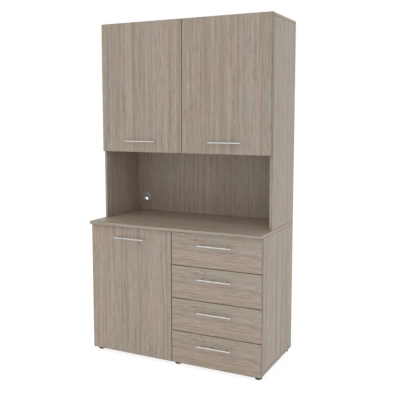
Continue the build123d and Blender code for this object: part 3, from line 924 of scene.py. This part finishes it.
def hinge_places(door):
    """A matrix for each hinge of a door, which also turns millimetres into metres."""
    low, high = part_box(door)
    side = hung_on[door]
    edge = low.x if side < 0 else high.x
    lie = Matrix.Diagonal((-side * MM, -MM, MM, 1))
    ends = (low.z + hinge_from_door_end * MM, high.z - hinge_from_door_end * MM)
    return [Matrix.Translation((edge, high.y, height)) @ lie for height in ends]


def hung(build, doors=hung_on):
    """The same parts on every hinge of some doors."""
    return [placed(part, lie) for door in doors for lie in hinge_places(door) for part in build()]


print("hinges", sum(len(hinge_places(door)) for door in hung_on))

# %% Build the cups
cup_radius, cup_depth, cup_sheet, cup_floor = 17.5, 13.5, 1.0, 0.8
cup_centre = 21.0
flange_start, flange_end, flange_half, flange_sheet = 5.0, 27.0, 26.0, 1.2
flange_corner = 4.0
notch_half = 5.6
pin_inset, pin_depth, pin_radius = 7.5, 10.0, 1.25
wing_screw_inset, wing_screw_height = 16.0, 21.8
wing_head_radius, wing_head_height, wing_head_sunk = 3.1, 1.0, 0.9


def cup_wing(up):
    """Half of the flange, above or below the cup, with its inner edge along the cup."""
    inner = cup_radius - cup_sheet
    start = math.acos((flange_end - cup_centre) / inner)
    stop = math.pi - math.asin(notch_half / inner)
    rim = arc(cup_centre, 0, inner, start, stop, steps=12)
    rim = [(max(x, flange_start), up * z) for x, z in rim]
    cut = [(share * flange_corner, flange_half - less * flange_corner)
           for share, less in ((0, 1), (0.3, 0.3), (1, 0))]
    left = [(flange_start + x, up * z) for x, z in cut]
    right = [(flange_end - x, up * z) for x, z in reversed(cut)]
    wing = sheet([rim + left + right], flange_sheet, 0.2)
    seat = Matrix.Translation((wing_screw_inset, wing_head_sunk - flange_sheet,
                               up * wing_screw_height)) @ z_to_minus_y
    head = screw_head(wing_head_radius, wing_head_height)
    return [placed(wing, z_to_minus_y), placed(head, seat)]


def hinge_cup():
    """The cup's wall, its floor, both wings of its flange and the riveted pin."""
    inner = cup_radius - cup_sheet
    opening = 2 * math.asin(notch_half / cup_radius)
    wall = turned([(inner, -flange_sheet, 0.3), (cup_radius, -flange_sheet, 0.3),
                   (cup_radius, cup_depth, 0.8), (inner, cup_depth)], closed=True, steps=40,
                  sweep=math.tau - opening)
    past_notch = Matrix.Rotation(math.pi + opening / 2, 4, "Z")
    centre = Matrix.Translation((cup_centre, 0, 0)) @ z_to_y
    floor = turned([(0, cup_depth - cup_floor), (cup_radius - 0.2, cup_depth - cup_floor),
                    (cup_radius - 0.2, cup_depth - 0.1, 0.3), (0, cup_depth - 0.1)], steps=40)
    pin_half = cup_radius - 4
    pin = turned([(0, -pin_half), (pin_radius, -pin_half), (pin_radius, pin_half), (0, pin_half)],
                 steps=20)
    parts = [placed(wall, centre @ past_notch), placed(floor, centre)]
    parts.append(placed(pin, Matrix.Translation((pin_inset, pin_depth, 0))))
    return parts + cup_wing(1) + cup_wing(-1)


for door in hung_on:
    piece(door + "_pressed_cups", hung(hinge_cup, [door]), door + "_hinge_cups")

# %% [markdown]
# The arm is one bent strip, from the curl round the pin to the crank in front of the plate, and a
# channel that straddles the plate. Two screws on the channel's back move the door in and out and
# sideways. The plate is a sheet with a rib that the channel hooks on to.

# %% Build the arms
arm_half, strip, knuckle_radius = 5.0, 2.2, 2.25
arm_near, arm_far = 19.8, 22.0
side_face = 17.0
door_gap = 3.0
body_start, body_end = -12.8, -67.0
body_foot, body_back, body_half = 20.0, 27.4, 8.0
rib_room, rib_height = 5.7, 25.2
arm_screws = (-26.0, -54.0)
arm_head_radius, arm_head_height, arm_head_sunk = 3.4, 1.4, 0.9


def hinge_arm():
    bend = drawn([(pin_inset, pin_depth + strip / 2), (arm_far, pin_depth + strip / 2, 3.0),
                  (arm_far, body_start, 0.8), (body_back, body_start, 1.0),
                  (body_back, body_start - strip), (arm_near, body_start - strip, 2.0),
                  (arm_near, pin_depth - strip / 2, 0.8), (pin_inset, pin_depth - strip / 2)],
                 2 * arm_half)
    edge_on = Matrix(((1, 0, 0, 0), (0, 0, 1, 0), (0, 1, 0, -arm_half), (0, 0, 0, 1)))
    curl = turned([(pin_radius + 0.05, -arm_half), (knuckle_radius, -arm_half, 0.2),
                   (knuckle_radius, arm_half, 0.2), (pin_radius + 0.05, arm_half)], closed=True)
    top = body_back - 0.5
    body = drawn([(body_foot, -body_half, 0.4), (top, -body_half, 2.0), (top, body_half, 2.0),
                  (body_foot, body_half, 0.4), (body_foot, rib_room, 0.4),
                  (rib_height, rib_room, 0.6), (rib_height, -rib_room, 0.6),
                  (body_foot, -rib_room, 0.4)], body_start - body_end)
    parts = [placed(bend, edge_on), placed(curl, Matrix.Translation((pin_inset, pin_depth, 0)))]
    parts.append(placed(body, Matrix.Translation((0, body_end, 0))))
    for depth in arm_screws:
        seat = Matrix.Translation((top - arm_head_sunk, depth, 0)) @ z_to_x
        parts.append(placed(screw_head(arm_head_radius, arm_head_height), seat))
    return parts


piece("bent_hinge_arms", hung(hinge_arm), "hinge_arms")

# %% Build the plates and their screws
plate_sheet, plate_half_height, plate_half_length = 2.5, 25.0, 9.0
plate_from_front = 37.0
plate_hole_radius, plate_hole_height = 2.6, 16.0
rib_top, rib_half, rib_start, rib_end = 8.0, 5.5, 18.0, 60.0


def hinge_plate():
    """The cross-shaped plate. Its sheet stands on the side board's face."""
    middle_y = -door_gap - plate_from_front
    wings = rounded_box(0, 0, 2 * plate_half_height, 2 * plate_half_length, 5.0)
    holes = [circle(side * plate_hole_height, 0, plate_hole_radius, 24) for side in (-1, 1)]
    board_side = Matrix(((0, 0, 1, side_face), (0, 1, 0, middle_y), (1, 0, 0, 0), (0, 0, 0, 1)))
    rib = drawn([(side_face + 0.5, -rib_half), (side_face + rib_top, -rib_half, 1.0),
                 (side_face + rib_top, rib_half, 1.0), (side_face + 0.5, rib_half)],
                rib_end - rib_start)
    rib_place = Matrix.Translation((0, -door_gap - rib_end, 0))
    return [placed(sheet([wings, *holes], plate_sheet, 0.3), board_side), placed(rib, rib_place)]


piece("cross_hinge_plates", hung(hinge_plate), "hinge_plates")
screws("threaded_plate_screws", "hinge_plate_screws", "X", radius=2.5, head_height=1.8, pitch=1.6)

# %% [markdown]
# ## Drawer trays
#
# A tray is folded from one millimetre steel and painted. Its rim is rolled inwards, which stiffens
# it and leaves no sharp edge, and shallow beads pressed into the base keep that from booming.

# %% Build the trays
tray_sheet = 1.0
tray_fold = 2.5
rim_roll = ((0.4, 0.9), (1.2, 1.2), (2.0, 0.9), (2.4, 0.0), (2.4, -3.0))
bead_radius, bead_flatness, bead_inset, bead_count = 4.0, 0.35, 40.0, 5


def rim_rolled(shape, extent):
    """Draws the open rim up and over, inwards. Each step is how far in and how far up."""
    rim = [edge for edge in shape.edges if edge.is_boundary]
    was_in, was_up = 0.0, 0.0
    for inward, up in rim_roll:
        made = bmesh.ops.extrude_edge_only(shape, edges=rim)["geom"]
        verts = [item for item in made if isinstance(item, bmesh.types.BMVert)]
        rim = [item for item in made if isinstance(item, bmesh.types.BMEdge) and item.is_boundary]
        narrower = [(side / 2 - inward) / (side / 2 - was_in) for side in extent]
        bmesh.ops.scale(shape, verts=verts, vec=(*narrower, 1))
        bmesh.ops.translate(shape, verts=verts, vec=(0, 0, up - was_up))
        was_in, was_up = inward, up


def tray_shell(width, length, height):
    """The folded and rolled sheet, with its base at Z 0 and its middle over the origin."""
    shape = bmesh.new()
    wall_height = height - max(up for inward, up in rim_roll)
    bmesh.ops.create_cube(shape, size=1)
    bmesh.ops.translate(shape, verts=shape.verts, vec=(0, 0, 0.5))
    bmesh.ops.scale(shape, verts=shape.verts, vec=(width, length, wall_height))
    lid = max(shape.faces, key=lambda face: face.calc_center_median().z)
    bmesh.ops.delete(shape, geom=[lid], context="FACES_ONLY")
    folds = [edge for edge in shape.edges if not edge.is_boundary]
    bmesh.ops.bevel(shape, geom=folds, offset=tray_fold, offset_type="OFFSET", affect="EDGES",
                    segments=3, profile=0.5, material=-1)
    rim_rolled(shape, (width, length))
    bmesh.ops.recalc_face_normals(shape, faces=shape.faces)
    bmesh.ops.solidify(shape, geom=shape.faces, thickness=tray_sheet)
    return shape


def base_bead(length):
    """A shallow ridge on the base, along Y, that sinks into the sheet."""
    bead = turned([(0, -length / 2), (bead_radius, -length / 2, 3.0),
                   (bead_radius, length / 2, 3.0), (0, length / 2)], steps=16)
    return placed(bead, Matrix.Diagonal((1, 1, bead_flatness, 1)) @ z_to_minus_y)


def tray(node):
    low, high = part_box(node)
    width, length, height = (high - low) / MM
    base = at(within(low, high, z=0))
    parts = [placed(tray_shell(width, length, height), base)]
    bead_height = bead_radius * bead_flatness + 0.05
    for number in range(bead_count):
        across = ((number + 0.5) / bead_count - 0.5) * (width - bead_inset)
        bead = base_bead(length - 2 * bead_inset)
        parts.append(placed(bead, base @ Matrix.Translation((across, 0, bead_height))))
    piece(node + "_folded", parts, node)


for node in named("_tray"):
    tray(node)

# %% [markdown]
# ## Drawer slides
#
# Each slide is three channels rolled from zinc-plated strip: one on the cabinet, one on the tray,
# and one between them. Their long edges are bent over, and each end has a small tab turned in
# that stops the ball cage.

# %% Build the slides
strip_sheet, fold_radius = 1.2, 1.9
tab_inset, tab_half, tab_reach = 8.0, 4.0, 6.0


def channel(web, lip, half_height, length):
    """A C-shaped strip along Y. Its web starts at X web, and its lips reach to X lip."""
    inwards = 1 if lip > web else -1
    inner = web + inwards * strip_sheet
    section = [(web, -half_height, fold_radius), (lip, -half_height, 0.4),
               (lip, strip_sheet - half_height, 0.4), (inner, strip_sheet - half_height, 0.8),
               (inner, half_height - strip_sheet, 0.8), (lip, half_height - strip_sheet, 0.4),
               (lip, half_height, 0.4), (web, half_height, fold_radius)]
    return drawn(section, length)


def end_tab(web, lip):
    """A narrow tongue across the channel's middle, turned in from the web."""
    inwards = 1 if lip > web else -1
    reach = web + inwards * min(abs(lip - web), tab_reach)
    return drawn([(web, -tab_half, 0.5), (reach, -tab_half, 1.2), (reach, tab_half, 1.2),
                  (web, tab_half, 0.5)], strip_sheet)


def slide_members(node, web_outside):
    """A member for each solid of a node. web_outside tells that its web is at the cabinet wall."""
    parts = []
    boxes = solids(node)
    middle_x = sum(low.x + high.x for low, high in boxes) / len(boxes) / 2
    for low, high in boxes:
        width, length, height = (high - low) / MM
        at_left = low.x < middle_x
        web, lip = (0, width) if at_left == web_outside else (width, 0)
        start = Matrix.Translation(within(low, high, x=0, y=0)) @ Matrix.Scale(MM, 4)
        parts.append(placed(channel(web, lip, height / 2, length), start))
        for along in (tab_inset, length - tab_inset):
            parts.append(placed(end_tab(web, lip), start @ Matrix.Translation((0, along, 0))))
    return parts


piece("rolled_cabinet_slides", slide_members("cabinet_slides", True), "cabinet_slides")
for node in named("_slides"):
    if node.startswith("drawer"):
        piece(node + "_rolled", slide_members(node, node.endswith("_middle_slides")), node)

# %% [markdown]
# ## Pins and dowels
#
# The shelves lie on nickel-plated pins with a groove that keeps them in their holes. The boards
# are joined with beech dowels: their flutes let the glue spread, and their ends are chamfered.

# %% Build the pins and dowels
def along_longest(low, high):
    """Where a round part starts, which way it runs, and its radius and length."""
    extent = high - low
    axis = max(range(3), key=lambda index: extent[index])
    direction = Vector([float(index == axis) for index in range(3)])
    start = within(low, high) - direction * extent[axis] / 2
    radius = extent[(axis + 1) % 3] / 2
    return at(start, direction), radius / MM, extent[axis] / MM


def shelf_pin(radius, length):
    groove = length / 2 - 1
    return turned([(0, 0), (radius, 0, 0.6), (radius, groove), (radius - 0.4, groove + 0.4),
                   (radius - 0.4, groove + 1.6), (radius, groove + 2), (radius, length, 0.6),
                   (0, length)], steps=24)


def dowel(radius, length):
    peg = turned([(0, 0), (radius - 1, 0), (radius, 1.2), (radius, length / 2),
                  (radius, length - 1.2), (radius - 1, length), (0, length)], steps=48)
    return fluted(peg, 12, 0.5, 1.0, length - 1.0)


for node, build, name in (("shelf_pins", shelf_pin, "grooved_shelf_pins"),
                          ("carcass_dowels", dowel, "fluted_dowels")):
    parts = []
    for low, high in solids(node):
        lie, radius, length = along_longest(low, high)
        parts.append(placed(build(radius, length), lie))
    piece(name, parts, node)
